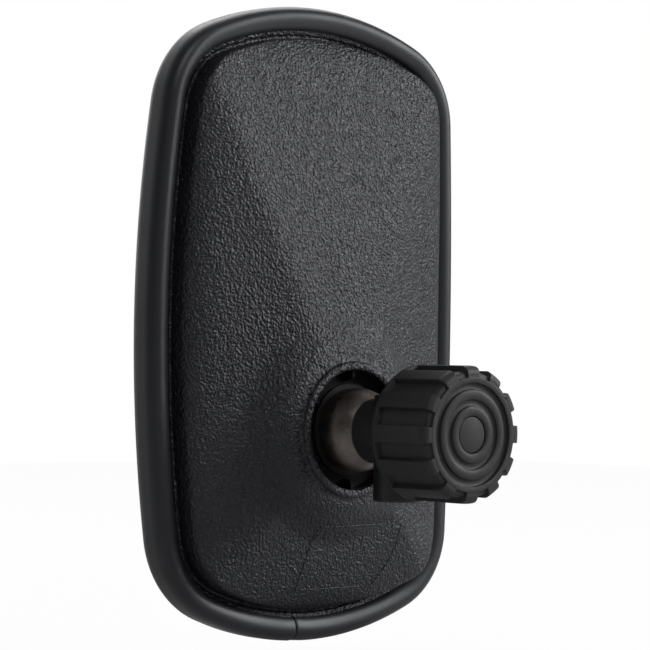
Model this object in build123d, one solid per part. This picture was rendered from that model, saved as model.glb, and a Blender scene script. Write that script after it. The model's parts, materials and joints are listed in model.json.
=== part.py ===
from build123d import *
import math
import os

os.makedirs("parts", exist_ok=True)

# Interior rearview mirror. Millimetres, +Z up, +Y from the clamp towards the glass.
# Origin: where the axis of the vertical rod socket crosses the axis of the clamp knob.

# ---- driving dimensions -------------------------------------------------------
MIRROR_HEIGHT = 250.0
MIRROR_WIDTH = 160.2
SIDE_ARC_R = 826.0
END_ARC_R = 139.5
CORNER_R = 37.2
GLASS_CURVE_R = 1230.0
RIM_Y = 54.6
MIRROR_Z = 41.2

TRIM_HALF_DEPTH = 7.4
TRIM_BACK_LIP = 9.4
TRIM_FRONT_LIP = 7.6
TRIM_WALL = 3.5
TRIM_ROUND = 6.0
TRIM_SEAM_X = -9.0
TRIM_SEAM_W = 0.3

GLASS_T = 2.4
SILVER_T = 0.3
FOAM_T = 2.0
FLANGE_T = 2.4
FLANGE_BACK = -4.2
LAYER_FIT = 0.15
GROOVE_IN = 11.0
DOME_IN = 12.6
GROOVE_DEPTH = 1.2
SHELL_WALL = 2.6

PIVOT_Y = 24.4
BALL_R = 16.3
HOLE_R = 23.1
LIP_R = 26.4
DOME_AT_LIP = 28.2
DOME_EDGE = 5.4
DOME_SHOULDER = 4.5
DOME_SHOULDER_LENGTH = 0.05
DOME_RISE = 19.0
DOME_RIDGE_SOFTNESS = 0.022
DOME_BLEND_R = 46.0
DOME_BLEND_W = 19.0
LIP_DEPTH = 30.2
RECESS_DEPTH = 8.5
LINER_T = 2.0
CUP_T = 2.5
RING_T = 1.7
DOME_WASHER_T = 1.7
SWIVEL_FIT = 0.1
BALL_FIT = 0.3
STEM_HOLE_DEG = 32.5
RING_HOLE_DEG = 25.0
RING_EDGE_DEG = 46.0
LINER_EDGE_DEG = 76.0

BOLT_R = 3.0
BOLT_HEAD_R = 5.0
BOLT_HEAD_H = 2.6
DISC_R = 7.0
DISC_T = 0.8
DISC_RISE = 0.35

ROD_BORE_R = 6.1
SOCKET_R = 10.0
SOCKET_BOTTOM = -26.5
SOCKET_TOP = 14.0
NECK_R = 12.5
BOSS_Y = -19.5

SCREW_R = 4.0
SCREW_TIP_R = 2.5
SCREW_FIT = 0.1
NUT_AF = 13.0
NUT_T = 6.5
PAD_T = 5.1
PAD_TIP_Y = -6.2

KNOB_R = 25.6
KNOB_REAR_Y = -10.7
KNOB_FACE_Y = -38.9
KNOB_RIBS = 12
RIB_DEG = 15.5
POCKET_DEPTH = 2.0
KNOB_RIM_T = 1.8
KNOB_CAVITY_R = 14.5
KNOB_CAVITY_Y = -24.0
INSERT_R = 8.0
INSERT_Y = -33.0
CAP_R = 6.9

# ---- helpers --------------------------------------------------------------------
GLASS_CENTRE_Y = RIM_Y + (MIRROR_HEIGHT / 2) ** 2 / (2 * GLASS_CURVE_R) - GLASS_CURVE_R


def disc(radius, y_from, y_to):
    """Solid cylinder on the knob axis between two Y positions."""
    centre = (0, (y_from + y_to) / 2, 0)
    return Pos(*centre) * Rot(90, 0, 0) * Cylinder(radius, abs(y_to - y_from))


def tube(outer, inner, y_from, y_to):
    """Plain ring on the knob axis."""
    low, high = min(y_from, y_to), max(y_from, y_to)
    return disc(outer, low, high) - disc(inner, low - 1, high + 1)


def ball(radius):
    """Sphere about the centre of the ball joint."""
    return Pos(0, PIVOT_Y, 0) * Sphere(radius)


def cone_zone(half_angle, reach=45.0):
    """Solid cone behind the ball, opening from its centre towards the glass."""
    base = reach * math.tan(math.radians(half_angle))
    profile = Polyline((0, PIVOT_Y, 0), (base, PIVOT_Y + reach, 0), (0, PIVOT_Y + reach, 0), close=True)
    return revolve(make_face(profile), axis=Axis.Y)


def ball_zone(outer, inner, edge_deg, hole_deg):
    """Part of a hollow sphere about the ball centre, between two cones."""
    return ((ball(outer) - ball(inner)) & cone_zone(edge_deg)) - cone_zone(hole_deg)


def outline_points(inset):
    """Centres, radii and tangent points of the mirror outline, one quadrant."""
    side_cx = MIRROR_WIDTH / 2 - SIDE_ARC_R
    end_cz = MIRROR_HEIGHT / 2 - END_ARC_R
    to_side = SIDE_ARC_R - CORNER_R
    to_end = END_ARC_R - CORNER_R
    dx = -side_cx
    dz = end_cz
    gap = math.hypot(dx, dz)
    along = (to_side ** 2 - to_end ** 2 + gap ** 2) / (2 * gap)
    across = math.sqrt(to_side ** 2 - along ** 2)
    ux = dx / gap
    uz = dz / gap
    px = side_cx + along * ux - across * uz
    pz = along * uz + across * ux
    side_t = ((px - side_cx) / to_side, pz / to_side)
    end_t = (px / to_end, (pz - end_cz) / to_end)
    mid = (side_t[0] + end_t[0], side_t[1] + end_t[1])
    norm = math.hypot(*mid)
    corner = CORNER_R - inset
    side = SIDE_ARC_R - inset
    return {
        "side_mid": (MIRROR_WIDTH / 2 - inset, 0.0),
        "side_end": (side_cx + side * side_t[0], side * side_t[1]),
        "corner_mid": (px + corner * mid[0] / norm, pz + corner * mid[1] / norm),
        "end_end": (px + corner * end_t[0], pz + corner * end_t[1]),
        "end_mid": (0.0, MIRROR_HEIGHT / 2 - inset),
    }


def prism(inset, y_from, y_to):
    """Mirror outline moved inwards by inset, extruded along Y."""
    p = outline_points(inset)

    def at(name, sx, sz):
        return (sx * p[name][0], y_from, MIRROR_Z + sz * p[name][1])

    edges = []
    for sx, sz in ((1, 1), (1, -1), (-1, 1), (-1, -1)):
        edges.append(Edge.make_three_point_arc(
            at("side_end", sx, sz), at("corner_mid", sx, sz), at("end_end", sx, sz)))
    for sx in (1, -1):
        edges.append(Edge.make_three_point_arc(
            at("side_end", sx, 1), at("side_mid", sx, 1), at("side_end", sx, -1)))
    for sz in (1, -1):
        edges.append(Edge.make_three_point_arc(
            at("end_end", 1, sz), at("end_mid", 1, sz), at("end_end", -1, sz)))
    face = Face(Wire(edges))
    return Solid.extrude(face, Vector(0, y_to - y_from, 0))


def glass_ball(offset):
    """Ball whose surface is parallel to the convex glass."""
    return Pos(0, GLASS_CENTRE_Y, MIRROR_Z) * Sphere(GLASS_CURVE_R + offset)


def layer(inset, offset_from, offset_to):
    """Curved plate of the mirror outline between two offsets from the rim surface."""
    block = prism(inset, RIM_Y - 25, RIM_Y + 25)
    return (block & glass_ball(offset_to)) - glass_ball(offset_from)


def soft_min(values, softness):
    """Smooth minimum."""
    low = min(values)
    total = sum(math.exp(-(v - low) / softness) for v in values)
    return low - softness * math.log(total)


def dome_depth(x, z):
    """Depth of the shell's back behind the rim plane; x and z from the mirror centre."""
    half_w = MIRROR_WIDTH / 2 - DOME_IN
    half_h = MIRROR_HEIGHT / 2 - DOME_IN
    slopes = (
        (half_w - abs(x)) / half_w,
        (half_h - z) / (half_h + MIRROR_Z),
        (half_h + z) / (half_h - MIRROR_Z),
    )
    t = max(soft_min(slopes, DOME_RIDGE_SOFTNESS), -0.05)
    depth = DOME_EDGE + DOME_SHOULDER * (1 - math.exp(-t / DOME_SHOULDER_LENGTH)) + DOME_RISE * t
    r = math.hypot(x, z + MIRROR_Z)
    w = min(max((DOME_BLEND_R - r) / DOME_BLEND_W, 0.0), 1.0)
    w = w * w * (3 - 2 * w)
    return depth * (1 - w) + DOME_AT_LIP * w


def dome_block(inset, wall):
    """Solid between the domed back, moved in by wall, and the glass."""
    columns = 45
    rows = 71
    grid = []
    for i in range(columns):
        x = -76.0 + 152.0 * i / (columns - 1)
        line = []
        for k in range(rows):
            z = -121.0 + 242.0 * k / (rows - 1)
            line.append(Vector(x, RIM_Y - dome_depth(x, z) + wall, MIRROR_Z + z))
        grid.append(line)
    skin = Face.make_surface_from_array_of_points(grid, tol=0.03, min_deg=3, max_deg=3)
    return Solid.extrude(skin, Vector(0, 60, 0)) & prism(inset, RIM_Y - 50, RIM_Y + 50)


def as_solid(shape):
    """The one solid of a result that holds only one."""
    solids = shape.solids()
    if len(solids) != 1:
        raise ValueError(f"expected one solid, got {len(solids)}")
    return solids[0]


def save(name, shape):
    """Write one node."""
    export_step(shape, f"parts/{name}.step")
    print(name, len(shape.solids()), round(shape.volume, 1))


# ---- mirror head: trim, glass, coating, foam --------------------------------------
flange_back = FLANGE_BACK
flange_front = flange_back + FLANGE_T
foam_back = flange_front + LAYER_FIT
foam_front = foam_back + FOAM_T
silver_back = foam_front + LAYER_FIT
silver_front = silver_back + SILVER_T
glass_back = silver_front + LAYER_FIT
glass_front = glass_back + GLASS_T

trim = layer(0, -TRIM_HALF_DEPTH, TRIM_HALF_DEPTH)
trim = fillet(trim.edges(), TRIM_ROUND)
trim = trim - layer(TRIM_WALL, flange_back - LAYER_FIT, glass_front + LAYER_FIT)
trim = trim - layer(TRIM_BACK_LIP, -TRIM_HALF_DEPTH - 2, flange_back + 1)
trim = trim - layer(TRIM_FRONT_LIP, glass_front - 1, TRIM_HALF_DEPTH + 2)
seam = Pos(TRIM_SEAM_X, RIM_Y, MIRROR_Z - MIRROR_HEIGHT / 2) * Box(TRIM_SEAM_W, 40, 30)
edge_trim = as_solid(trim - seam)
save("edge_trim", edge_trim)

mirror_glass = as_solid(layer(TRIM_WALL + 0.2, glass_back, glass_front))
save("mirror_glass", mirror_glass)

silver_backing = as_solid(layer(TRIM_WALL + 0.4, silver_back, silver_front))
save("silver_backing", silver_backing)

foam_seal = as_solid(layer(TRIM_WALL + 1.5, foam_back, foam_front)
                     - layer(DOME_IN + 1.5, foam_back - 1, foam_front + 1))
save("foam_seal", foam_seal)

# ---- back shell with the recess and the cup of the ball joint ----------------------
liner_in = BALL_R + SWIVEL_FIT
liner_out = liner_in + LINER_T
cup_in = liner_out + BALL_FIT
cup_out = cup_in + CUP_T
ring_in = cup_out + BALL_FIT
ring_out = ring_in + RING_T
washer_in = ring_out + BALL_FIT
washer_out = washer_in + DOME_WASHER_T

flange = layer(TRIM_WALL + 0.2, flange_back, flange_front)
groove = (layer(GROOVE_IN, flange_back - 2, flange_back + GROOVE_DEPTH)
          - prism(DOME_IN, RIM_Y - 30, RIM_Y + 30))
shell = (flange - groove) + (dome_block(DOME_IN, 0) & glass_ball(flange_front))
shell = shell - dome_block(DOME_IN + SHELL_WALL, SHELL_WALL)
shell = shell - layer(DOME_IN + SHELL_WALL, flange_back - 8, flange_front + 4)

lip_y = RIM_Y - LIP_DEPTH
lip = tube(LIP_R, HOLE_R, lip_y, lip_y + RECESS_DEPTH)
lip = fillet(lip.edges().filter_by(GeomType.CIRCLE).group_by(Axis.Y)[0], 1.2)
floor = tube(LIP_R - 0.5, cup_in - 1, lip_y + RECESS_DEPTH - 2, lip_y + RECESS_DEPTH)
cup = ball_zone(cup_out, cup_in, 72.0, STEM_HOLE_DEG)
ribs = []
for k in range(6):
    rib = Pos(0, PIVOT_Y + 4.5, 0) * Rot(0, 60 * k + 30, 0) * Pos(21.3, 0, 0) * Box(5.0, 5.5, 1.2)
    ribs.append(rib)
shell = shell - disc(LIP_R - 0.6, 0, RIM_Y + 4)
shell = shell + lip + floor + cup
for rib in ribs:
    shell = shell + rib
shell = shell - ball(cup_in)
back_shell = as_solid(shell)
save("back_shell", back_shell)

# ---- friction ball joint ------------------------------------------------------------
liner_hole_deg = math.degrees(math.asin((BOLT_R + 0.4) / liner_in))
friction_liner = as_solid(ball_zone(liner_out, liner_in, LINER_EDGE_DEG, liner_hole_deg))
save("friction_liner", friction_liner)

slide_ring = as_solid(ball_zone(ring_out, ring_in, RING_EDGE_DEG, RING_HOLE_DEG))
save("slide_ring", slide_ring)

washer_face_y = PIVOT_Y + washer_out + 0.6
dome_washer = ball_zone(washer_out, washer_in, 34.0, 1.0)
dome_washer = dome_washer + (disc(DISC_R + 0.5, PIVOT_Y + washer_in, washer_face_y) - ball(washer_in))
dome_washer = as_solid(dome_washer - disc(BOLT_R + 0.2, PIVOT_Y, PIVOT_Y + 40))
save("dome_washer", dome_washer)


def disc_spring(y_wide, y_narrow):
    """Conical spring washer, its wide rim and its bore edge at the given Y positions."""
    profile = Polyline(
        (DISC_R, y_wide, 0),
        (DISC_R, y_wide + DISC_T, 0),
        (BOLT_R + 0.3, y_narrow + DISC_T, 0),
        (BOLT_R + 0.3, y_narrow, 0),
        close=True,
    )
    return revolve(make_face(profile), axis=Axis.Y)


spring_1 = disc_spring(washer_face_y, washer_face_y + DISC_RISE)
spring_2_y = washer_face_y + 2 * DISC_RISE + DISC_T
spring_2 = disc_spring(spring_2_y, spring_2_y - DISC_RISE)
save("disc_springs", Compound(children=[as_solid(spring_1), as_solid(spring_2)]))

flat_y = spring_2_y + DISC_T
flat_washer = as_solid(tube(DISC_R, BOLT_R + 0.2, flat_y, flat_y + 1.0))
save("flat_washer", flat_washer)

head_y = flat_y + 1.0
pivot_bolt = disc(BOLT_R, PIVOT_Y - 8, head_y + 0.5) + disc(BOLT_HEAD_R, head_y, head_y + BOLT_HEAD_H)
hex_socket = extrude(Plane(origin=(0, head_y + 1.0, 0), z_dir=(0, 1, 0)) * RegularPolygon(2.3, 6), 3)
pivot_bolt = as_solid(pivot_bolt - hex_socket)
save("pivot_bolt", pivot_bolt)

# ---- ball stem: ball, neck, boss and rod socket ----------------------------------------
stem = ball(BALL_R) + disc(NECK_R, BOSS_Y, PIVOT_Y - 8)
socket_h = SOCKET_TOP - SOCKET_BOTTOM
socket = Pos(0, 0, (SOCKET_TOP + SOCKET_BOTTOM) / 2) * Cylinder(SOCKET_R, socket_h)
socket = chamfer(socket.edges().filter_by(GeomType.CIRCLE), 0.6)
stem = stem + socket
stem = stem - Pos(0, 0, (SOCKET_TOP + SOCKET_BOTTOM) / 2) * Cylinder(ROD_BORE_R, socket_h + 10)
stem = stem - disc(BOLT_R, PIVOT_Y - 8, PIVOT_Y + 30)
stem = stem - disc(SCREW_R + SCREW_FIT, BOSS_Y - 1, 0)
nut_plane = Plane(origin=(0, BOSS_Y, 0), z_dir=(0, 1, 0))
nut_r = NUT_AF / math.sqrt(3)
nut_block = extrude(nut_plane * RegularPolygon(nut_r, 6), NUT_T)
stem = stem - nut_block
ball_stem = as_solid(stem)
save("ball_stem", ball_stem)

clamp_nut = as_solid(nut_block - disc(SCREW_R + SCREW_FIT, BOSS_Y - 1, BOSS_Y + NUT_T + 1))
save("clamp_nut", clamp_nut)

# ---- pressure pad, clamp screw and its small parts -----------------------------------------
pad_rear_y = PAD_TIP_Y - PAD_T
shoulder_y = pad_rear_y - 0.1
pad = disc(SCREW_R, pad_rear_y, PAD_TIP_Y)
pad = chamfer(pad.edges().filter_by(GeomType.CIRCLE).group_by(Axis.Y)[-1], 0.4)
pad = pad - disc(SCREW_TIP_R + SCREW_FIT, pad_rear_y - 1, pad_rear_y + 3.4)
pad = pad - disc(3.4, pad_rear_y + 1.4, pad_rear_y + 2.4)
pressure_pad = as_solid(pad)
save("pressure_pad", pressure_pad)

clip = tube(3.2, SCREW_TIP_R, pad_rear_y + 1.6, pad_rear_y + 2.2)
clip = clip - Pos(0, pad_rear_y + 1.9, -3) * Box(2.2, 2, 4)
retaining_clip = as_solid(clip)
save("retaining_clip", retaining_clip)

screw = disc(SCREW_R, INSERT_Y, shoulder_y) + disc(SCREW_TIP_R, shoulder_y - 0.5, pad_rear_y + 3.1)
clamp_screw = as_solid(screw)
save("clamp_screw", clamp_screw)

# ---- knob --------------------------------------------------------------------------------
face = KNOB_FACE_Y
rings = [
    (0.0, face + 1.6), (CAP_R + 0.2, face + 1.6),
    (CAP_R + 0.2, face + 0.7), (7.8, face), (9.9, face), (10.6, face + 0.7),
    (10.8, face + 1.2), (12.8, face + 1.2), (13.0, face + 0.7), (13.7, face),
    (16.0, face), (16.7, face + 0.7), (16.9, face + 1.35), (19.0, face + 1.35),
    (19.2, face + 0.4), (19.7, face), (KNOB_R - 3.2, face), (KNOB_R - 1.6, face + 0.45),
    (KNOB_R - 0.45, face + 1.6), (KNOB_R, face + 3.2), (KNOB_R, KNOB_REAR_Y - 0.6),
    (KNOB_R - 0.6, KNOB_REAR_Y), (KNOB_CAVITY_R + 0.5, KNOB_REAR_Y),
    (KNOB_CAVITY_R, KNOB_REAR_Y - 0.5), (KNOB_CAVITY_R, KNOB_CAVITY_Y),
    (INSERT_R, KNOB_CAVITY_Y), (INSERT_R, INSERT_Y), (0.0, INSERT_Y),
]
knob = revolve(make_face(Polyline(*[(r, y, 0) for r, y in rings], close=True)), axis=Axis.Y)
pocket_deg = 360 / KNOB_RIBS - RIB_DEG
half = math.radians(pocket_deg / 2)
pocket_in = KNOB_R - POCKET_DEPTH
for k in range(KNOB_RIBS):
    reach = KNOB_R + 3
    wedge = Polyline(
        (0, 0), (reach * math.cos(half), -reach * math.sin(half)),
        (reach * math.cos(half), reach * math.sin(half)), close=True)
    plane = Plane(origin=(0, KNOB_REAR_Y - KNOB_RIM_T, 0), x_dir=(1, 0, 0), z_dir=(0, -1, 0))
    cutter = extrude(plane * make_face(wedge), 40)
    cutter = cutter - disc(pocket_in, KNOB_FACE_Y - 5, 0)
    knob = knob - Rot(0, 30 * k + 15, 0) * cutter
knob_body = as_solid(knob)
save("knob_body", knob_body)

knob_insert = as_solid(tube(INSERT_R, SCREW_R, INSERT_Y, KNOB_CAVITY_Y))
save("knob_insert", knob_insert)

thrust_washer = as_solid(tube(11.0, SCREW_R + 0.2, KNOB_CAVITY_Y, KNOB_CAVITY_Y + 1.2))
save("thrust_washer", thrust_washer)

cap = disc(CAP_R, face + 0.6, face + 1.6)
cap = fillet(cap.edges().filter_by(GeomType.CIRCLE).group_by(Axis.Y)[0], 0.3)
knob_cap = as_solid(cap)
save("knob_cap", knob_cap)
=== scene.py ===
import json
import math

import bmesh
import bpy
from mathutils import Matrix, Vector


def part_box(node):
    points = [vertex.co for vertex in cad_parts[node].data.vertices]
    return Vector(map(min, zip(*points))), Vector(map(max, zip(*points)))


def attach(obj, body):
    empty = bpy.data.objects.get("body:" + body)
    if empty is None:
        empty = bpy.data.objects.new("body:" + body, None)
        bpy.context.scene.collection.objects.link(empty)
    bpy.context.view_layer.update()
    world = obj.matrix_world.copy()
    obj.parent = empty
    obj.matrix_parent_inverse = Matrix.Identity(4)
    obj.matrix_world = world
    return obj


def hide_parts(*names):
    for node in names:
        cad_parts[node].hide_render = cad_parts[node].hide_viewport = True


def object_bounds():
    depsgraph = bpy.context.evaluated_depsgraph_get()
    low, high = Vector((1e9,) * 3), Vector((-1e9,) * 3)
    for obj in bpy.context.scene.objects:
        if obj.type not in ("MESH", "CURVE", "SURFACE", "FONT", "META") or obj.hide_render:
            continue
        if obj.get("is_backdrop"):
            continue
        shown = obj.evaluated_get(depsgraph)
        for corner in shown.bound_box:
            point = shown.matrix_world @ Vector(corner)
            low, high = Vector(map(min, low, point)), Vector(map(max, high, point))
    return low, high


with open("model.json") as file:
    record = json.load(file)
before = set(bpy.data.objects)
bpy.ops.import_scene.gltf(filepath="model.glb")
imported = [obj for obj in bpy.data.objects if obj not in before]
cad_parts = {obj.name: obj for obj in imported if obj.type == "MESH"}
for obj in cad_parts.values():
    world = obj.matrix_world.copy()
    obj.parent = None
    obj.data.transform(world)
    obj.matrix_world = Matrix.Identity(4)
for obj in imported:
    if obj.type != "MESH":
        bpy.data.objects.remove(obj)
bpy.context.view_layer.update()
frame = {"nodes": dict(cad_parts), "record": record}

bl_info = {
    "name": "Clamp-on rearview mirror",
    "version": (1, 0, 0),
    "blender": (4, 5, 0),
    "location": "View3D > Sidebar > Mirror",
    "description": "Builds the looks of a clamp-on interior mirror around its frame",
    "category": "Object",
}

# Sizes are in millimetres up to the stage's. Names that end in _IN are distances inwards from
# the mirror's outline. FLANGE_*, GROOVE_Y, SILVER_BACK, GLASS_* and the trim's offsets count
# along Y from the rim's curved surface.
MM = 0.001
JOINTS = {j["name"]: j for j in frame["record"]["behaviour"]["joints"]}
PIVOT_Y = JOINTS["head_tilt"]["pos_m"][1] / MM
TRIM_LO, TRIM_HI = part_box("edge_trim")
KNOB_LO, KNOB_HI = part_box("knob_body")
WIDTH = round((TRIM_HI[0] - TRIM_LO[0]) / MM, 1)
HEIGHT = round((TRIM_HI[2] - TRIM_LO[2]) / MM, 1)
MIRROR_Z = (TRIM_LO[2] + TRIM_HI[2]) / 2 / MM
KNOB_R = (KNOB_HI[0] - KNOB_LO[0]) / 2 / MM
KNOB_FACE_Y = KNOB_LO[1] / MM
KNOB_REAR_Y = KNOB_HI[1] / MM
LIP_DEPTH = 30.2
RIM_Y = PIVOT_Y + LIP_DEPTH
SIDE_ARC_R = 826.0
END_ARC_R = 139.5
CORNER_R = 37.2
GLASS_CURVE_R = 1230.0
FLANGE_BACK = -4.2
FLANGE_FRONT = -1.8
SILVER_BACK = 0.5
GLASS_BACK = 0.95
GLASS_FRONT = 3.35
SILVER_T = 0.3
FLANGE_IN = 3.7
FLANGE_MID_IN = 8.0
PANE_IN = 3.7
COAT_IN = 3.9
DOME_IN = 12.6
GROOVE_IN = 11.0
GROOVE_Y = -3.0
SHELL_WALL = 2.6
DOME_EDGE = 5.4
DOME_SHOULDER = 4.5
DOME_SHOULDER_LENGTH = 0.05
DOME_RISE = 19.0
DOME_RIDGE_SOFTNESS = 0.022
DOME_BLEND_R = 46.0
DOME_BLEND_W = 19.0
DOME_AT_LIP = 28.2
HOLE_R = 23.1
LIP_R = 26.4
LIP_ROUND = 1.4
BALL_SATIN_R = 16.35
BALL_COAT_R = 16.7
CUP_INNER_R = 18.7
CUP_OUTER_R = 21.2
CUP_HOLE_DEG = 32.5
CUP_EDGE_DEG = 72.0
CUP_REAR_DEG = 66.0
RECESS_FLOOR = 6.5
RECESS_REAR = 8.5
CUP_FLOOR_R = 20.16
CUP_REAR_R = 19.42
DOME_STEPS = 64
RIB_COUNT = 6
RIB_HALF_T = 0.6
RIB_SHAPE = ((19.2, 7.0), (19.2, 3.6), (20.4, 2.2), (23.4, 1.9), (23.4, 7.0))
PLATE_CORNERS = ((26.0, -104.0), (36.0, -79.0), (-10.0, -79.0), (-14.0, -104.0))
PLATE_BOW = 3.0
PLATE_BEAD_R = 0.28
PLATE_BEAD_H = 0.2
TRIM_BACK_IN = 4.7
TRIM_FRONT_IN = 4.2
TRIM_HALF_DEPTH = 7.4
TRIM_FLAT = 1.9
TRIM_FRONT_LIP = 7.6
TRIM_FRONT_LIP_Y = 3.8
TRIM_BACK_LIP_Y = -4.5
TRIM_SLOT_IN = 3.5
TRIM_SLOT_END = 9.2
TRIM_SLOT_FRONT = 3.5
TRIM_SLOT_BACK = -4.35
SEAM_X = -9.0
SEAM_DROP = 0.22
SEAM_REACH = 5.0
KNOB_RIBS = 12
RIB_HALF_DEG = 7.75
RIB_SOFT_DEG = 0.9
KNOB_FILLET = 3.3
KNOB_CAVITY_R = 14.5
KNOB_CAVITY_Y = -24.0
INSERT_R = 8.0
INSERT_Y = -33.0
CAP_R = 6.9
CAP_FIT = 0.06
CAP_SEAT = 1.6
FACE_RIM_R = 19.2
FACE_CROWN = 0.75
FACE_RINGS = ((CAP_R + CAP_FIT, 10.6, 1.2, 13.0), (13.0, 16.7, 1.35, FACE_RIM_R))

# The stage, in metres and degrees. FLOOR_SHADE is the share of the floor's own light that shows.
FLOOR_SHADE = 0.03
FLOOR_DROP = 0.004
FLOOR_HALF = 1.6
VIEW_AZIMUTH = -42.11
VIEW_ELEVATION = -0.96
VIEW_ROLL = 0.9
VIEW_DISTANCE = 0.992
VIEW_LENS = 138.5
VIEW_AIM_RIGHT = 0.00739
VIEW_AIM_UP = -0.00036
LIGHTS = (
    ("key_light", (0.95, -0.66, 0.46), (0.9, 0.7), 12.5, (0.95, 0.96, 1.0)),
    ("fill_light", (-0.45, -1.1, 1.0), (0.7, 0.5), 5.0, (1, 1, 1)),
    ("top_light", (0.4, 0.5, 0.9), (0.7, 0.6), 5.5, (1, 1, 1)),
    ("glass_light", (0.2, 1.2, 0.5), (0.8, 0.8), 3.0, (1, 1, 1)),
)


# ---- small helpers -------------------------------------------------------------------
def new_object(name, bm, body, material, smooth_deg=None):
    """Mesh object from a bmesh, riding on a body."""
    bmesh.ops.remove_doubles(bm, verts=bm.verts, dist=1e-6)
    bmesh.ops.recalc_face_normals(bm, faces=bm.faces)
    mesh = bpy.data.meshes.new(name)
    bm.to_mesh(mesh)
    bm.free()
    mesh.shade_smooth()
    if smooth_deg:
        mesh.set_sharp_from_angle(angle=math.radians(smooth_deg))
    obj = bpy.data.objects.new(name, mesh)
    bpy.context.scene.collection.objects.link(obj)
    mesh.materials.append(material)
    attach(obj, body)
    return obj


def weld(bm):
    """Merge the points that meet on an axis and drop the faces that vanish there."""
    bmesh.ops.remove_doubles(bm, verts=bm.verts, dist=1e-6)
    bmesh.ops.dissolve_degenerate(bm, edges=bm.edges, dist=1e-7)


def skin_rings(bm, rings, closed_along=False):
    """Quads between successive closed rings of points given in millimetres."""
    rows = [[bm.verts.new(Vector(p) * MM) for p in ring] for ring in rings]
    count = len(rows[0])
    spans = len(rows) if closed_along else len(rows) - 1
    for a in range(spans):
        first = rows[a]
        second = rows[(a + 1) % len(rows)]
        for i in range(count):
            k = (i + 1) % count
            bm.faces.new((first[i], first[k], second[k], second[i]))
    return rows


def outline_arcs():
    """Centres of the outline's arcs and the directions where they meet."""
    side_cx = WIDTH / 2 - SIDE_ARC_R
    end_cz = HEIGHT / 2 - END_ARC_R
    to_side = SIDE_ARC_R - CORNER_R
    to_end = END_ARC_R - CORNER_R
    gap = math.hypot(side_cx, end_cz)
    along = (to_side ** 2 - to_end ** 2 + gap ** 2) / (2 * gap)
    across = math.sqrt(to_side ** 2 - along ** 2)
    ux = -side_cx / gap
    uz = end_cz / gap
    px = side_cx + along * ux - across * uz
    pz = along * uz + across * ux
    side_angle = math.atan2(pz, px - side_cx)
    end_angle = math.atan2(pz - end_cz, px)
    return side_cx, end_cz, px, pz, side_angle, end_angle


ARCS = outline_arcs()


def outline_point(phi, inset):
    """Point of the mirror outline, moved inwards, whose outward normal has direction phi."""
    side_cx, end_cz, px, pz, side_angle, end_angle = ARCS
    c = math.cos(phi)
    s = math.sin(phi)
    turn = math.atan2(abs(s), abs(c))
    if turn < side_angle:
        cx, cz, r = side_cx, 0.0, SIDE_ARC_R
    elif turn < end_angle:
        cx, cz, r = px, pz, CORNER_R
    else:
        cx, cz, r = 0.0, end_cz, END_ARC_R
    sx = 1 if c >= 0 else -1
    sz = 1 if s >= 0 else -1
    return sx * cx + (r - inset) * c, sz * cz + (r - inset) * s


def outline_directions(start=0.0, step=1.7):
    """Normal directions all round the outline, about step millimetres apart."""
    angles = []
    phi = start
    while phi < start + 2 * math.pi - 1e-9:
        angles.append(phi)
        turn = math.atan2(abs(math.sin(phi)), abs(math.cos(phi)))
        if turn < ARCS[4]:
            r = SIDE_ARC_R
        elif turn < ARCS[5]:
            r = CORNER_R
        else:
            r = END_ARC_R
        nxt = phi + step / r
        for base in range(-2, 10):
            for edge in (ARCS[4], ARCS[5]):
                for sign in (1, -1):
                    joint = base * math.pi + sign * edge
                    if phi + 1e-9 < joint < nxt:
                        nxt = joint
        phi = nxt
    return angles


def curved_y(x, z, offset):
    """Y of the surface parallel to the convex glass; x and z from the mirror centre."""
    crown = (HEIGHT / 2) ** 2 / (2 * GLASS_CURVE_R)
    centre = RIM_Y + crown - GLASS_CURVE_R
    return centre + math.sqrt((GLASS_CURVE_R + offset) ** 2 - x * x - z * z)


def rim_ring(directions, inset, offset):
    """Ring of points on the curved rim surface."""
    ring = []
    for phi in directions:
        x, z = outline_point(phi, inset)
        ring.append((x, curved_y(x, z, offset), MIRROR_Z + z))
    return ring


def soft_min(values, softness):
    """Smooth minimum."""
    low = min(values)
    total = sum(math.exp(-(v - low) / softness) for v in values)
    return low - softness * math.log(total)


def smooth_step(t):
    """Smooth rise from 0 to 1."""
    t = min(max(t, 0.0), 1.0)
    return t * t * (3 - 2 * t)


def dome_depth(x, z):
    """Depth of the shell's back behind the rim plane; x and z from the mirror centre."""
    half_w = WIDTH / 2 - DOME_IN
    half_h = HEIGHT / 2 - DOME_IN
    slopes = (
        (half_w - abs(x)) / half_w,
        (half_h - z) / (half_h + MIRROR_Z),
        (half_h + z) / (half_h - MIRROR_Z),
    )
    t = max(soft_min(slopes, DOME_RIDGE_SOFTNESS), -0.05)
    depth = DOME_EDGE + DOME_SHOULDER * (1 - math.exp(-t / DOME_SHOULDER_LENGTH)) + DOME_RISE * t
    r = math.hypot(x, z + MIRROR_Z)
    w = smooth_step((DOME_BLEND_R - r) / DOME_BLEND_W)
    return depth * (1 - w) + DOME_AT_LIP * w


def lathe(bm, profile, segments):
    """Closed profile of (radius, y) turned about the knob's axis."""
    rings = []
    for r, y in profile:
        ring = []
        for k in range(segments):
            a = 2 * math.pi * k / segments
            ring.append((r * math.cos(a), y, r * math.sin(a)))
        rings.append(ring)
    skin_rings(bm, rings, closed_along=True)
    weld(bm)


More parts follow.
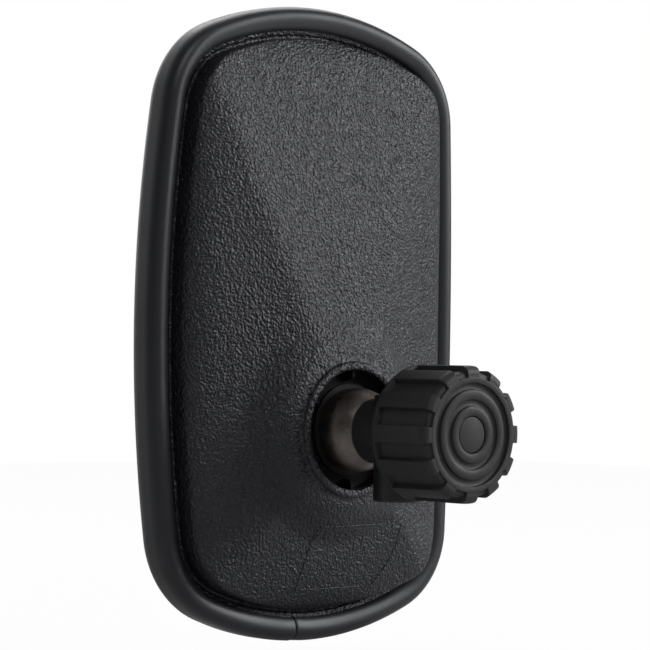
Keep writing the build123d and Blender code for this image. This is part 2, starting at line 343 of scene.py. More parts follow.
# ---- materials ---------------------------------------------------------------------------
def start_material(name):
    """Empty node material with its Principled shader."""
    mat = bpy.data.materials.new(name)
    mat.use_nodes = True
    nodes = mat.node_tree.nodes
    nodes.clear()
    out = nodes.new("ShaderNodeOutputMaterial")
    shader = nodes.new("ShaderNodeBsdfPrincipled")
    mat.node_tree.links.new(shader.outputs["BSDF"], out.inputs["Surface"])
    coords = nodes.new("ShaderNodeTexCoord")
    return mat, shader, coords


def add_noise(mat, coords, scale, detail=3.0, stretch=(1, 1, 1), rough=0.5):
    """Noise texture in object space; scale is in features per metre."""
    tree = mat.node_tree
    mapping = tree.nodes.new("ShaderNodeMapping")
    mapping.inputs["Scale"].default_value = stretch
    noise = tree.nodes.new("ShaderNodeTexNoise")
    noise.inputs["Scale"].default_value = scale
    noise.inputs["Detail"].default_value = detail
    noise.inputs["Roughness"].default_value = rough
    tree.links.new(coords.outputs["Object"], mapping.inputs["Vector"])
    tree.links.new(mapping.outputs["Vector"], noise.inputs["Vector"])
    return noise.outputs["Fac"]


def add_pits(mat, coords, scale):
    """Voronoi distance for rounded grain."""
    tree = mat.node_tree
    cells = tree.nodes.new("ShaderNodeTexVoronoi")
    cells.feature = "SMOOTH_F1"
    cells.inputs["Scale"].default_value = scale
    cells.inputs["Smoothness"].default_value = 0.7
    tree.links.new(coords.outputs["Object"], cells.inputs["Vector"])
    return cells.outputs["Distance"]


def add_range(mat, value, low, high, from_low=0.3, from_high=0.7):
    """Value mapped from a noise's range to another range."""
    tree = mat.node_tree
    node = tree.nodes.new("ShaderNodeMapRange")
    node.inputs["From Min"].default_value = from_low
    node.inputs["From Max"].default_value = from_high
    node.inputs["To Min"].default_value = low
    node.inputs["To Max"].default_value = high
    tree.links.new(value, node.inputs["Value"])
    return node.outputs["Result"]


def add_colours(mat, value, dark, light, low=0.3, high=0.7):
    """Colour ramp between two colours."""
    tree = mat.node_tree
    ramp = tree.nodes.new("ShaderNodeValToRGB")
    ramp.color_ramp.elements[0].position = low
    ramp.color_ramp.elements[1].position = high
    ramp.color_ramp.elements[0].color = (*dark, 1)
    ramp.color_ramp.elements[1].color = (*light, 1)
    tree.links.new(value, ramp.inputs["Fac"])
    return ramp.outputs["Color"]


def add_bump(mat, value, distance, strength=1.0, under=None):
    """Bump node, optionally over another bump's normal."""
    tree = mat.node_tree
    bump = tree.nodes.new("ShaderNodeBump")
    bump.inputs["Distance"].default_value = distance
    bump.inputs["Strength"].default_value = strength
    tree.links.new(value, bump.inputs["Height"])
    if under:
        tree.links.new(under, bump.inputs["Normal"])
    return bump.outputs["Normal"]


def link(mat, value, socket):
    """Connect two sockets."""
    mat.node_tree.links.new(value, socket)


def grained_plastic(name, dark, light, roughness, grain, grain_height, specular):
    """Moulded plastic with a rounded spark-eroded grain and faint scuffs."""
    mat, shader, coords = start_material(name)
    patches = add_noise(mat, coords, 22.0, 4.0)
    fine = add_noise(mat, coords, grain, 1.0)
    pits = add_pits(mat, coords, grain * 0.6)
    scuffs = add_noise(mat, coords, 160.0, 5.0, stretch=(1.0, 1.0, 0.25), rough=0.65)
    link(mat, add_colours(mat, patches, dark, light), shader.inputs["Base Color"])
    rough = add_range(mat, scuffs, roughness - 0.06, roughness + 0.08)
    link(mat, rough, shader.inputs["Roughness"])
    low = add_bump(mat, pits, grain_height * 0.5, 0.8)
    link(mat, add_bump(mat, fine, grain_height, 1.0, low), shader.inputs["Normal"])
    shader.inputs["Specular IOR Level"].default_value = specular
    return mat


def satin_metal(name, dark, light, roughness):
    """Satin or plated metal with fine marks."""
    mat, shader, coords = start_material(name)
    patches = add_noise(mat, coords, 90.0, 4.0)
    streaks = add_noise(mat, coords, 900.0, 3.0)
    link(mat, add_colours(mat, patches, dark, light), shader.inputs["Base Color"])
    rough = add_range(mat, streaks, roughness - 0.07, roughness + 0.1)
    link(mat, rough, shader.inputs["Roughness"])
    link(mat, add_bump(mat, streaks, 0.00004, 0.6), shader.inputs["Normal"])
    shader.inputs["Metallic"].default_value = 1.0
    return mat


def rubber_material():
    """Extruded edge rubber: satin, faint bloom, drawn along its length."""
    mat, shader, coords = start_material("edge_rubber_satin")
    bloom = add_noise(mat, coords, 35.0, 5.0, rough=0.6)
    specks = add_noise(mat, coords, 1500.0, 2.0)
    drawn = add_noise(mat, coords, 260.0, 3.0)
    colour = add_colours(mat, bloom, (0.016, 0.0165, 0.018), (0.024, 0.0245, 0.0265))
    link(mat, colour, shader.inputs["Base Color"])
    link(mat, add_range(mat, bloom, 0.46, 0.36), shader.inputs["Roughness"])
    low = add_bump(mat, specks, 0.00003, 0.6)
    link(mat, add_bump(mat, drawn, 0.00008, 0.5, low), shader.inputs["Normal"])
    shader.inputs["Specular IOR Level"].default_value = 0.45
    return mat


def glass_material():
    """Clear convex glass with a faint film of dust."""
    mat, shader, coords = start_material("clear_glass_pane")
    dust = add_noise(mat, coords, 60.0, 6.0, rough=0.7)
    link(mat, add_range(mat, dust, 0.02, 0.07), shader.inputs["Roughness"])
    link(mat, add_colours(mat, dust, (0.9, 0.93, 0.93), (0.95, 0.97, 0.97)), shader.inputs["Base Color"])
    shader.inputs["Transmission Weight"].default_value = 1.0
    shader.inputs["IOR"].default_value = 1.5
    return mat


def silver_material():
    """Silvered coating with faint cloudiness."""
    mat, shader, coords = start_material("silvered_coat")
    cloud = add_noise(mat, coords, 40.0, 4.0)
    link(mat, add_colours(mat, cloud, (0.84, 0.86, 0.87), (0.88, 0.89, 0.9)), shader.inputs["Base Color"])
    link(mat, add_range(mat, cloud, 0.02, 0.05), shader.inputs["Roughness"])
    shader.inputs["Metallic"].default_value = 1.0
    return mat


def foam_material():
    """Closed-cell foam."""
    mat, shader, coords = start_material("closed_cell_foam")
    cells = add_pits(mat, coords, 2500.0)
    link(mat, add_colours(mat, cells, (0.03, 0.03, 0.032), (0.08, 0.08, 0.085), 0.1, 0.6),
         shader.inputs["Base Color"])
    link(mat, add_bump(mat, cells, 0.0001), shader.inputs["Normal"])
    shader.inputs["Roughness"].default_value = 0.9
    return mat


def get_material(name):
    """A finish by name, made once."""
    if name in bpy.data.materials:
        return bpy.data.materials[name]
    looks = bpy.context.scene.mirror_looks
    made = {
        "shell_grain": lambda: grained_plastic(
            "shell_grain", (0.0085, 0.0087, 0.011), (0.0125, 0.0128, 0.016), 0.37,
            1 / looks.grain_size, 0.0009, 0.5),
        "knob_satin": lambda: grained_plastic(
            "knob_satin", (0.021, 0.0205, 0.020), (0.028, 0.0275, 0.027), 0.5, 3200.0, 0.00005, 0.32),
        "zinc_plate": lambda: satin_metal("zinc_plate", (0.5, 0.5, 0.5), (0.66, 0.66, 0.67), 0.3),
        "turned_brass": lambda: satin_metal("turned_brass", (0.5, 0.36, 0.15), (0.66, 0.5, 0.24), 0.3),
        # Painted shade: the cup, the recess and its ribs are the shell's own plastic, but this base colour is
        # far darker than the shell's and stands in for the shade inside the hole. The matte roughness and low
        # specular are real.
        "recess_matte_painted_shade": lambda: grained_plastic(
            "recess_matte_painted_shade", (0.003, 0.003, 0.0032), (0.005, 0.005, 0.0053), 0.7, 2600.0, 0.00003, 0.12),
        "black_nylon": lambda: grained_plastic(
            "black_nylon", (0.004, 0.004, 0.0042), (0.007, 0.007, 0.0073), 0.65, 2600.0, 0.00003, 0.15),
        "natural_nylon": lambda: grained_plastic(
            "natural_nylon", (0.42, 0.41, 0.37), (0.52, 0.51, 0.47), 0.45, 2600.0, 0.00003, 0.4),
    }
    return made[name]()


def stem_material():
    """Dark coated casting whose ball is left as satin metal."""
    mat, shader, coords = start_material("stem_cast")
    tree = mat.node_tree
    reach = tree.nodes.new("ShaderNodeVectorMath")
    reach.operation = "DISTANCE"
    reach.inputs[1].default_value = (0.0, PIVOT_Y * MM, 0.0)
    link(mat, coords.outputs["Object"], reach.inputs[0])
    on_ball = add_range(mat, reach.outputs["Value"], 1.0, 0.0, BALL_SATIN_R * MM, BALL_COAT_R * MM)
    cloud = add_noise(mat, coords, 120.0, 5.0, rough=0.65)
    streaks = add_noise(mat, coords, 700.0, 3.0, stretch=(1.0, 0.2, 1.0))
    coat = add_colours(mat, cloud, (0.012, 0.012, 0.0125), (0.019, 0.0185, 0.018))
    metal = add_colours(mat, cloud, (0.13, 0.112, 0.1), (0.27, 0.235, 0.21))
    mix = tree.nodes.new("ShaderNodeMix")
    mix.data_type = "RGBA"
    link(mat, on_ball, mix.inputs[0])
    link(mat, coat, mix.inputs[6])
    link(mat, metal, mix.inputs[7])
    link(mat, mix.outputs[2], shader.inputs["Base Color"])
    link(mat, on_ball, shader.inputs["Metallic"])
    link(mat, add_range(mat, streaks, 0.34, 0.5), shader.inputs["Roughness"])
    link(mat, add_bump(mat, streaks, 0.00004, 0.6), shader.inputs["Normal"])
    return mat


def paint_node(node, material):
    """Give a frame node its finish."""
    slots = frame["nodes"][node].data.materials
    if len(slots) == 0:
        slots.append(material)
    for k in range(len(slots)):
        slots[k] = material


# ---- pieces ----------------------------------------------------------------------------------
class MirrorLooks(bpy.types.PropertyGroup):
    """Sizes and colours of the mirror that may be changed."""

    grain_size: bpy.props.FloatProperty(
        name="Grain size", description="Distance between the grains on the shell",
        default=0.001, min=0.0003, max=0.003, precision=5, subtype="DISTANCE", unit="LENGTH")
    seam_gap: bpy.props.FloatProperty(
        name="Seam gap", description="Gap where the edge rubber's ends meet",
        default=0.0003, min=0.0001, max=0.0015, precision=5, subtype="DISTANCE", unit="LENGTH")
    pocket_depth: bpy.props.FloatProperty(
        name="Pocket depth", description="Depth of the pockets between the knob's ribs",
        default=0.002, min=0.0005, max=0.003, precision=5, subtype="DISTANCE", unit="LENGTH")
    backdrop: bpy.props.FloatVectorProperty(
        name="Backdrop", description="Colour of the floor and backdrop",
        subtype="COLOR", size=3, default=(0.55, 0.55, 0.55), min=0.0, max=1.0)


class MIRROR_OT_shell(bpy.types.Operator):
    """Domed back shell with its rim groove, recess and ball cup"""

    bl_idname = "mirror.shell"
    bl_label = "Back shell"

    def circle(self, around, r, ahead):
        """Ring about the knob's axis, a distance ahead of the ball's centre."""
        return [(r * math.cos(a), PIVOT_Y + ahead, r * math.sin(a)) for a in around]

    def dome_ring(self, around, directions, s, inset, lift, inner_r):
        """Ring on the dome, a share s of the way from the hole to the outline."""
        ring = []
        for a, phi in zip(around, directions):
            ox, oz = outline_point(phi, inset)
            x = inner_r * math.cos(a) * (1 - s) + ox * s
            z = (inner_r * math.sin(a) - MIRROR_Z) * (1 - s) + oz * s
            ring.append((x, RIM_Y - dome_depth(x, z) + lift, MIRROR_Z + z))
        return ring

    def hole_rings(self, around):
        """Cup of the ball joint, floor and wall of the recess, and the rolled lip."""
        rings = []
        for k in range(8):
            a = math.radians(CUP_HOLE_DEG + (CUP_EDGE_DEG - CUP_HOLE_DEG) * k / 7)
            rings.append(self.circle(around, CUP_INNER_R * math.sin(a), CUP_INNER_R * math.cos(a)))
        for r, ahead in ((CUP_FLOOR_R, RECESS_FLOOR), (HOLE_R - 0.6, RECESS_FLOOR),
                         (HOLE_R - 0.1, RECESS_FLOOR - 0.2), (HOLE_R, RECESS_FLOOR - 0.7),
                         (HOLE_R, LIP_ROUND + 0.1)):
            rings.append(self.circle(around, r, ahead))
        quarter = [math.radians(18 * k) for k in range(1, 6)]
        for a in quarter:
            r = HOLE_R + LIP_ROUND * (1 - math.cos(a))
            rings.append(self.circle(around, r, LIP_ROUND * (1 - math.sin(a))))
        for a in quarter:
            r = LIP_R - LIP_ROUND * (1 - math.sin(a))
            rings.append(self.circle(around, r, LIP_ROUND * (1 - math.cos(a))))
        rings.append(self.circle(around, LIP_R + 0.25, LIP_ROUND + 0.35))
        return rings

    def back_rings(self, around, directions):
        """Domed back from the lip out to its rounded edge."""
        rings = []
        for k in range(DOME_STEPS + 1):
            s = (k / DOME_STEPS) ** 0.92
            rings.append(self.dome_ring(around, directions, s, DOME_IN + 1.3, 0.0, LIP_R + 0.7))
        for inset, lift in ((DOME_IN + 0.7, 0.1), (DOME_IN + 0.25, 0.35), (DOME_IN, 0.8)):
            rings.append(self.dome_ring(around, directions, 1.0, inset, lift, LIP_R))
        return rings

    def rim_rings(self, directions):
        """Groove round the dome and the flange that the edge rubber grips."""
        layout = ((DOME_IN, GROOVE_Y - 1.0), (DOME_IN - 0.1, GROOVE_Y - 0.3), (DOME_IN - 0.4, GROOVE_Y),
                  (GROOVE_IN + 0.4, GROOVE_Y), (GROOVE_IN + 0.05, GROOVE_Y - 0.3),
                  (GROOVE_IN, GROOVE_Y - 0.9), (GROOVE_IN - 0.3, FLANGE_BACK),
                  (FLANGE_MID_IN, FLANGE_BACK), (FLANGE_IN + 0.2, FLANGE_BACK),
                  (FLANGE_IN, FLANGE_BACK + 0.2), (FLANGE_IN, FLANGE_FRONT - 0.2),
                  (FLANGE_IN + 0.2, FLANGE_FRONT), (DOME_IN + SHELL_WALL, FLANGE_FRONT))
        return [rim_ring(directions, inset, offset) for inset, offset in layout]

    def inner_rings(self, around, directions):
        """Inside of the dome and the front of the cup, up to the cup's hole."""
        rings = []
        for k in range(DOME_STEPS // 2 + 1):
            s = 1 - 2 * k / DOME_STEPS
            rings.append(self.dome_ring(around, directions, s, DOME_IN + SHELL_WALL, SHELL_WALL, LIP_R - 0.4))
        rings.append(self.circle(around, LIP_R - 0.5, RECESS_REAR))
        rings.append(self.circle(around, CUP_REAR_R, RECESS_REAR))
        for k in range(7):
            a = math.radians(CUP_REAR_DEG - (CUP_REAR_DEG - CUP_HOLE_DEG) * k / 6)
            rings.append(self.circle(around, CUP_OUTER_R * math.sin(a), CUP_OUTER_R * math.cos(a)))
        return rings

    def execute(self, context):
        directions = outline_directions()
        around = [math.atan2(z + MIRROR_Z, x) for x, z in
                  (outline_point(phi, DOME_IN) for phi in directions)]
        rings = self.hole_rings(around) + self.back_rings(around, directions)
        rings += self.rim_rings(directions) + self.inner_rings(around, directions)
        bm = bmesh.new()
        skin_rings(bm, rings, closed_along=True)
        shell = new_object("shell_skin", bm, "head", get_material("shell_grain"), 50)
        # Faces deep in the hole get the recess material, whose dark base colour is painted shade.
        shell.data.materials.append(get_material("recess_matte_painted_shade"))
        for face in shell.data.polygons:
            centre = face.center / MM
            in_hole = math.hypot(centre.x, centre.z) < HOLE_R + 0.2
            if in_hole and centre.y < PIVOT_Y + RECESS_REAR - 0.5:
                face.material_index = 1
        ribs = self.recess_ribs()
        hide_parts("back_shell")
        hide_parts("back_shell")
        return {"FINISHED"}

    def recess_ribs(self):
        """Thin ribs between the cup and the recess wall, set round the knob's axis."""
        bm = bmesh.new()
        pitch = 360 / RIB_COUNT
        for k in range(RIB_COUNT):
            turn = Matrix.Rotation(math.radians(pitch * k + pitch / 2), 4, "Y")
            sides = []
            for half in (-RIB_HALF_T, RIB_HALF_T):
                points = [Vector((x, PIVOT_Y + y, half)) * MM for x, y in RIB_SHAPE]
                sides.append([bm.verts.new(turn @ point) for point in points])
            for i in range(len(RIB_SHAPE)):
                n = (i + 1) % len(RIB_SHAPE)
                bm.faces.new((sides[0][i], sides[0][n], sides[1][n], sides[1][i]))
            bm.faces.new(sides[0])
            bm.faces.new(sides[1])
        # The ribs sit in the hole and take the same painted shade.
        return new_object("recess_ribs", bm, "head", get_material("recess_matte_painted_shade"), 30)


class MIRROR_OT_plate(bpy.types.Operator):
    """Faint raised outline of the bare plate field low on the back"""

    bl_idname = "mirror.plate"
    bl_label = "Plate outline"

    def path(self):
        """Points round the field, its first side bowed outwards."""
        points = []
        for i, (x0, z0) in enumerate(PLATE_CORNERS):
            x1, z1 = PLATE_CORNERS[(i + 1) % len(PLATE_CORNERS)]
            for k in range(24):
                t = k / 24
                bow = PLATE_BOW * math.sin(math.pi * t) * (1 if i == 0 else 0)
                points.append((x0 + (x1 - x0) * t + bow, z0 + (z1 - z0) * t))
        return points

    def execute(self, context):
        path = self.path()
        rings = []
        for i, (x, z) in enumerate(path):
            nx, nz = path[(i + 1) % len(path)]
            px, pz = path[i - 1]
            along = Vector((nx - px, 0, nz - pz)).normalized()
            side = along.cross(Vector((0, 1, 0)))
            place = Vector((x, RIM_Y - dome_depth(x, z), MIRROR_Z + z))
            ring = []
            for k in range(6):
                a = math.radians(60 * k)
                ring.append(place + side * (PLATE_BEAD_R * math.cos(a))
                            + Vector((0, PLATE_BEAD_H * math.sin(a), 0)))
            rings.append(ring)
        bm = bmesh.new()
        skin_rings(bm, rings, closed_along=True)
        new_object("plate_outline", bm, "head", get_material("shell_grain"))
        return {"FINISHED"}


class MIRROR_OT_trim(bpy.types.Operator):
    """Edge rubber round the rim, with its butt joint at the bottom"""

    bl_idname = "mirror.trim"
    bl_label = "Edge rubber"

    def profile(self):
        """Section of the rubber as inset and offset from the outline."""
        quarter = [math.radians(7.5 * k) for k in range(13)]
        bulge = TRIM_HALF_DEPTH - TRIM_FLAT
        front_lip = TRIM_FRONT_LIP - TRIM_FRONT_IN
        front_rise = TRIM_HALF_DEPTH - TRIM_FRONT_LIP_Y
        back_rise = TRIM_HALF_DEPTH + TRIM_BACK_LIP_Y
        points = [(TRIM_BACK_IN * (1 - math.sin(a)), -TRIM_FLAT - bulge * math.cos(a)) for a in quarter]
        points += [(TRIM_FRONT_IN * (1 - math.cos(a)), TRIM_FLAT + bulge * math.sin(a)) for a in quarter]
        for k in range(1, 9):
            a = math.radians(11.25 * k)
            points.append((TRIM_FRONT_IN + front_lip * math.sin(a),
                           TRIM_FRONT_LIP_Y + front_rise * math.cos(a)))
        points += [(TRIM_FRONT_LIP, TRIM_SLOT_FRONT), (TRIM_SLOT_IN, TRIM_SLOT_FRONT),
                   (TRIM_SLOT_IN, TRIM_SLOT_BACK), (TRIM_SLOT_END, TRIM_SLOT_BACK)]
        for a in quarter[:-1]:
            points.append((TRIM_BACK_IN * (1 + math.cos(a)), TRIM_BACK_LIP_Y - back_rise * math.sin(a)))
        return points

    def directions(self, seam, gap):
        """Normal directions from one end of the rubber to the other, closer at its ends."""
        half = gap / 2 / END_ARC_R
        low = seam + 4 * half
        high = seam + 2 * math.pi - 4 * half
        angles = [a for a in outline_directions(seam) if low < a < high]
        first = [seam + half + step / END_ARC_R for step in (0.0, 0.25, 0.7)]
        last = [2 * (seam + math.pi) - a for a in reversed(first)]
        return first + [a for a in angles if first[-1] + 0.003 < a < last[0] - 0.003] + last

    def execute(self, context):
        seam = -math.pi / 2 + math.asin(SEAM_X / END_ARC_R)
        directions = self.directions(seam, context.scene.mirror_looks.seam_gap / MM)
        section = self.profile()
        rings = []
        for i, phi in enumerate(directions):
            from_end = min(i, len(directions) - 1 - i)
            shrink = (0.955, 0.985, 1.0)[min(from_end, 2)]
            reach = (phi - seam) * END_ARC_R
            drop = SEAM_DROP * math.exp(-(reach / SEAM_REACH) ** 2)
            ring = []
            for inset, offset in section:
                inset = TRIM_BACK_IN + (inset - TRIM_BACK_IN) * shrink + drop
                x, z = outline_point(phi, inset)
                ring.append((x, curved_y(x, z, offset * shrink), MIRROR_Z + z))
            rings.append(ring)
        bm = bmesh.new()
        rows = skin_rings(bm, rings)
        bm.faces.new(rows[0])
        bm.faces.new(rows[-1])
        trim = new_object("edge_rubber_bead", bm, "head", rubber_material(), 40)
        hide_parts("edge_trim")
        return {"FINISHED"}


class MIRROR_OT_glass(bpy.types.Operator):
    """Convex glass and the silver coat behind it"""

    bl_idname = "mirror.glass"
    bl_label = "Convex glass"

    def plate(self, name, inset, back, front, slot, material, node):
        """Curved plate between two offsets."""
        directions = outline_directions(step=4.0)
        rings = []
        fractions = [0.0, 0.12, 0.25, 0.4, 0.55, 0.7, 0.82, 0.92, 0.97]
        layout = [(f, back, inset) for f in fractions]
        layout += [(1.0, back, inset + 0.15), (1.0, back + 0.1, inset),
                   (1.0, front - 0.1, inset), (1.0, front, inset + 0.15)]
        layout += [(f, front, inset) for f in reversed(fractions)]
        for f, offset, edge in layout:
            ring = []
            for phi in directions:
                x, z = outline_point(phi, edge)
                ring.append((x * f, curved_y(x * f, z * f, offset), MIRROR_Z + z * f))
            rings.append(ring)
        bm = bmesh.new()
        skin_rings(bm, rings)
        weld(bm)
        obj = new_object(name, bm, "head", material, 40)
        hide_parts(node)

    def execute(self, context):
        self.plate("glass_pane", PANE_IN, GLASS_BACK, GLASS_FRONT, "clear_glass",
                   glass_material(), "mirror_glass")
        self.plate("silver_coat", COAT_IN, SILVER_BACK, SILVER_BACK + SILVER_T, "silvering",
                   silver_material(), "silver_backing")
        paint_node("foam_seal", foam_material())
        return {"FINISHED"}


class MIRROR_OT_knob(bpy.types.Operator):
    """Ribbed hand knob with its ringed face and centre cap"""

    bl_idname = "mirror.knob"
    bl_label = "Clamp knob"

    def angles(self):
        """Directions round the knob with how deep into a pocket each lies."""
        pitch = 360 / KNOB_RIBS
        found = []
        for k in range(KNOB_RIBS):
            base = pitch * k
            found += [(base + 2.2 * j, 0.0) for j in range(-3, 4)]
            for j in range(5):
                turn = RIB_HALF_DEG + RIB_SOFT_DEG * (j / 4 - 0.5)
                found.append((base + turn, smooth_step(j / 4)))
            found += [(base + 9.6 + 1.8 * j, 1.0) for j in range(7)]
            for j in range(5):
                turn = pitch - RIB_HALF_DEG + RIB_SOFT_DEG * (j / 4 - 0.5)
                found.append((base + turn, smooth_step(1 - j / 4)))
        return found

    def face_profile(self, face):
        """Face as points of radius, y and how far a pocket moves each."""
        profile = [(0.0, face + CAP_SEAT, 0, 0), (CAP_R + CAP_FIT, face + CAP_SEAT, 0, 0)]
        for r0, r1, step_in, next_r in FACE_RINGS:
            profile.append((r0, face + FACE_CROWN, 0, 0))
            for k in range(1, 8):
                a = math.pi * k / 8
                r = (r0 + r1) / 2 - (r1 - r0) / 2 * math.cos(a)
                profile.append((r, face + FACE_CROWN * (1 - math.sin(a) ** 0.7), 0, 0))
            profile += [(r1, face + FACE_CROWN, 0, 0), (r1 + 0.1, face + step_in - 0.15, 0, 0),
                        (r1 + 0.3, face + step_in, 0, 0), (next_r - 0.3, face + step_in, 0, 0),
                        (next_r - 0.1, face + step_in - 0.15, 0, 0)]
        profile += [(FACE_RIM_R, face + 0.35, 0, 0), (FACE_RIM_R + 0.15, face + 0.1, 0, 0),
                    (FACE_RIM_R + 0.5, face, 0, 0), (FACE_RIM_R + 1.7, face, 0, 0),
                    (FACE_RIM_R + 2.1, face + 0.05, 0, 0), (FACE_RIM_R + 2.25, face + 0.1, 0, 0.7)]
        return profile

    def side_profile(self, face, rear, depth):
        """Rounded edge and ribbed side, with the collar behind the pockets."""
        profile = []
        for k in range(10):
            a = math.radians(10 * k)
            r = KNOB_R - KNOB_FILLET * (1 - math.sin(a))
            y = face + KNOB_FILLET * (1 - math.cos(a))
            profile.append((r, y, -depth * math.sin(a), depth * 0.55 * math.cos(a)))
        for y, share in ((face + 9, 1), (face + 16, 1), (rear - 2.3, 1), (rear - 2.05, 0.85),
                         (rear - 1.8, 0.1), (rear - 1.6, 0), (rear - 0.6, 0)):
            profile.append((KNOB_R, y, -depth * share, 0))
        return profile

    def rear_profile(self, rear):
        """Rear edge, cavity and the seat of the insert."""
        points = ((KNOB_R - 0.2, rear - 0.2), (KNOB_R - 0.6, rear), (KNOB_CAVITY_R + 0.5, rear),
                  (KNOB_CAVITY_R + 0.1, rear - 0.2), (KNOB_CAVITY_R, rear - 0.5),
                  (KNOB_CAVITY_R, KNOB_CAVITY_Y + 0.2), (KNOB_CAVITY_R - 0.2, KNOB_CAVITY_Y),
                  (INSERT_R, KNOB_CAVITY_Y), (INSERT_R, INSERT_Y), (0.0, INSERT_Y))
        return [(r, y, 0, 0) for r, y in points]

    def execute(self, context):
        depth = context.scene.mirror_looks.pocket_depth / MM
        face = KNOB_FACE_Y
        rear = KNOB_REAR_Y
        profile = self.face_profile(face) + self.side_profile(face, rear, depth) + self.rear_profile(rear)
        angles = [(math.radians(deg), w) for deg, w in self.angles()]
        rings = []
        for r, y, dr, dy in profile:
            rings.append([((r + dr * w) * math.cos(a), y + dy * w, (r + dr * w) * math.sin(a))
                          for a, w in angles])
        bm = bmesh.new()
        skin_rings(bm, rings)
        weld(bm)
        satin = get_material("knob_satin")
        knob = new_object("knob_grip", bm, "knob", satin, 38)
        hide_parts("knob_body")
        bm = bmesh.new()
        top = face + 0.6
        lathe(bm, [(0.0, top), (CAP_R - 0.7, top), (CAP_R - 0.3, top + 0.1), (CAP_R - 0.05, top + 0.4),
                   (CAP_R, face + CAP_SEAT), (0.0, face + CAP_SEAT)], 96)
        cap = new_object("knob_centre", bm, "knob", satin, 38)
        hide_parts("knob_cap")
        return {"FINISHED"}


class MIRROR_OT_hardware(bpy.types.Operator):
    """Finishes of the stem and the small metal and nylon parts"""

    bl_idname = "mirror.hardware"
    bl_label = "Stem and hardware"

    def execute(self, context):
        finishes = {
            "zinc_plate": ("dome_washer", "disc_springs", "flat_washer", "pivot_bolt", "clamp_nut",
                           "retaining_clip", "clamp_screw"),
            "turned_brass": ("pressure_pad", "knob_insert"),
            "natural_nylon": ("slide_ring", "thrust_washer"),
            "black_nylon": ("friction_liner",),
        }
        paint_node("ball_stem", stem_material())
        for finish, nodes in finishes.items():
            material = get_material(finish)
            for node in nodes:
                paint_node(node, material)
        return {"FINISHED"}


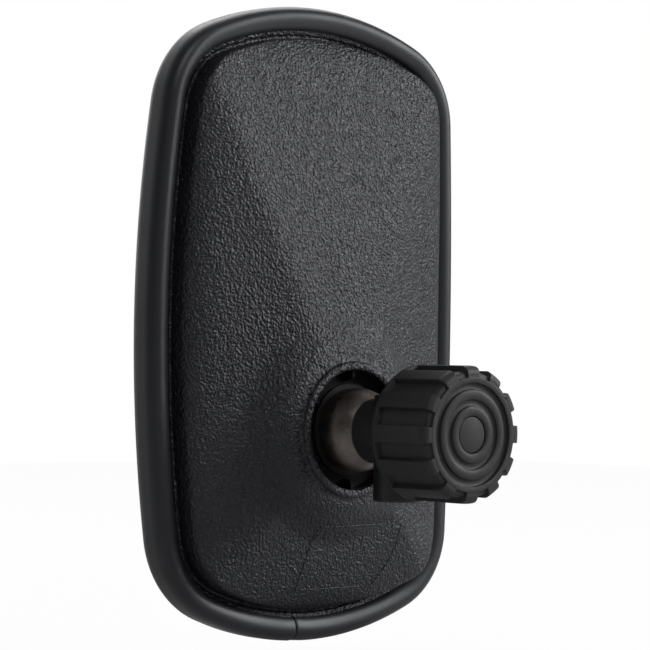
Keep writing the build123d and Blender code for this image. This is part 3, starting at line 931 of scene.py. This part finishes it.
class MIRROR_OT_stage(bpy.types.Operator):
    """Pale floor, white backdrop, soft lights and the camera"""

    bl_idname = "mirror.stage"
    bl_label = "Stage"

    def backdrop_white(self, tree, shader_socket, out_socket, shade=0.0):
        """White wherever a camera or glass ray meets the surface, less a share that keeps shadows."""
        path = tree.nodes.new("ShaderNodeLightPath")
        glow = tree.nodes.new("ShaderNodeEmission")
        glow.inputs["Color"].default_value = (1, 1, 1, 1)
        glow.inputs["Strength"].default_value = 1.0
        seen = tree.nodes.new("ShaderNodeMath")
        seen.operation = "MAXIMUM"
        mix = tree.nodes.new("ShaderNodeMixShader")
        tree.links.new(path.outputs["Is Camera Ray"], seen.inputs[0])
        tree.links.new(path.outputs["Is Transmission Ray"], seen.inputs[1])
        share = tree.nodes.new("ShaderNodeMath")
        share.operation = "MULTIPLY"
        share.inputs[1].default_value = 1.0 - shade
        tree.links.new(seen.outputs[0], share.inputs[0])
        tree.links.new(share.outputs[0], mix.inputs[0])
        tree.links.new(shader_socket, mix.inputs[1])
        tree.links.new(glow.outputs[0], mix.inputs[2])
        tree.links.new(mix.outputs[0], out_socket)

    def make_world(self, scene):
        """Room light, dim on the knob's side and bright on the glass side."""
        world = bpy.data.worlds.new("pale_room")
        world.use_nodes = True
        scene.world = world
        tree = world.node_tree
        tree.nodes.clear()
        out = tree.nodes.new("ShaderNodeOutputWorld")
        room = tree.nodes.new("ShaderNodeBackground")
        coords = tree.nodes.new("ShaderNodeTexCoord")
        split = tree.nodes.new("ShaderNodeSeparateXYZ")
        ramp = tree.nodes.new("ShaderNodeValToRGB")
        ramp.color_ramp.elements[0].position = 0.05
        ramp.color_ramp.elements[0].color = (0.05, 0.052, 0.058, 1)
        ramp.color_ramp.elements[1].position = 0.9
        ramp.color_ramp.elements[1].color = (0.75, 0.76, 0.78, 1)
        tree.links.new(coords.outputs["Generated"], split.inputs[0])
        tree.links.new(split.outputs["Y"], ramp.inputs["Fac"])
        tree.links.new(ramp.outputs["Color"], room.inputs["Color"])
        self.backdrop_white(tree, room.outputs[0], out.inputs["Surface"])

    def make_floor(self, scene):
        """Pale sheet just below the object."""
        floor_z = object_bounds()[0][2] - FLOOR_DROP
        bm = bmesh.new()
        corners = ((-1, -1), (1, -1), (1, 1), (-1, 1))
        bm.faces.new([bm.verts.new((x * FLOOR_HALF, y * FLOOR_HALF, floor_z)) for x, y in corners])
        mesh = bpy.data.meshes.new("floor_sheet")
        bm.to_mesh(mesh)
        bm.free()
        floor = bpy.data.objects.new("floor_sheet", mesh)
        scene.collection.objects.link(floor)
        mat = bpy.data.materials.new("floor_pale")
        mat.use_nodes = True
        tree = mat.node_tree
        shader = tree.nodes["Principled BSDF"]
        shader.inputs["Base Color"].default_value = (*scene.mirror_looks.backdrop, 1)
        shader.inputs["Roughness"].default_value = 0.9
        out = tree.nodes["Material Output"]
        self.backdrop_white(tree, shader.outputs[0], out.inputs["Surface"], FLOOR_SHADE)
        mesh.materials.append(mat)
        floor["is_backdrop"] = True

    def make_lights(self, scene, centre):
        """Soft area lights that point at the mirror's centre."""
        for name, offset, size, power, colour in LIGHTS:
            data = bpy.data.lights.new(name, "AREA")
            data.shape = "RECTANGLE"
            data.size = size[0]
            data.size_y = size[1]
            data.energy = power
            data.color = colour
            light = bpy.data.objects.new(name, data)
            light.location = centre + Vector(offset)
            light.rotation_mode = "QUATERNION"
            light.rotation_quaternion = (centre - light.location).to_track_quat("-Z", "Y")
            scene.collection.objects.link(light)

    def make_camera(self, scene, centre):
        """Camera behind the mirror and to its left, a little below its centre."""
        azimuth = math.radians(VIEW_AZIMUTH)
        elevation = math.radians(VIEW_ELEVATION)
        roll = math.radians(VIEW_ROLL)
        back = Vector((math.sin(azimuth) * math.cos(elevation),
                       -math.cos(azimuth) * math.cos(elevation), math.sin(elevation)))
        right = Vector((math.cos(azimuth), math.sin(azimuth), 0))
        up = back.cross(right)
        across = right * math.cos(roll) + up * math.sin(roll)
        upward = -right * math.sin(roll) + up * math.cos(roll)
        place = centre + right * VIEW_AIM_RIGHT + up * VIEW_AIM_UP + back * VIEW_DISTANCE
        data = bpy.data.cameras.new("view_camera")
        data.sensor_width = 36.0
        data.lens = VIEW_LENS
        camera = bpy.data.objects.new("view_camera", data)
        scene.collection.objects.link(camera)
        turn = Matrix((across, upward, back)).transposed().to_4x4()
        camera.matrix_world = Matrix.Translation(place) @ turn
        scene.camera = camera

    def execute(self, context):
        scene = context.scene
        scene.view_settings.view_transform = "Standard"
        centre = Vector((0, RIM_Y, MIRROR_Z)) * MM
        self.make_world(scene)
        self.make_floor(scene)
        self.make_lights(scene, centre)
        self.make_camera(scene, centre)
        return {"FINISHED"}


class MIRROR_PT_panel(bpy.types.Panel):
    """Sidebar panel that lists the mirror's pieces"""

    bl_label = "Rearview mirror"
    bl_idname = "MIRROR_PT_panel"
    bl_space_type = "VIEW_3D"
    bl_region_type = "UI"
    bl_category = "Mirror"

    def draw(self, context):
        looks = context.scene.mirror_looks
        for field in ("grain_size", "seam_gap", "pocket_depth", "backdrop"):
            self.layout.prop(looks, field)
        for operator in STEPS:
            self.layout.operator(operator.bl_idname)


STEPS = (
    MIRROR_OT_shell,
    MIRROR_OT_plate,
    MIRROR_OT_trim,
    MIRROR_OT_glass,
    MIRROR_OT_knob,
    MIRROR_OT_hardware,
    MIRROR_OT_stage,
)


def register():
    """Register the classes and the scene's settings."""
    bpy.utils.register_class(MirrorLooks)
    for operator in STEPS:
        bpy.utils.register_class(operator)
    bpy.utils.register_class(MIRROR_PT_panel)
    bpy.types.Scene.mirror_looks = bpy.props.PointerProperty(type=MirrorLooks)


def unregister():
    """Undo register."""
    del bpy.types.Scene.mirror_looks
    bpy.utils.unregister_class(MIRROR_PT_panel)
    for operator in reversed(STEPS):
        bpy.utils.unregister_class(operator)
    bpy.utils.unregister_class(MirrorLooks)


def main():
    """Build every piece in order."""
    register()
    bpy.ops.mirror.shell()
    bpy.ops.mirror.plate()
    bpy.ops.mirror.trim()
    bpy.ops.mirror.glass()
    bpy.ops.mirror.knob()
    bpy.ops.mirror.hardware()
    bpy.ops.mirror.stage()


if __name__ == "__main__":
    main()
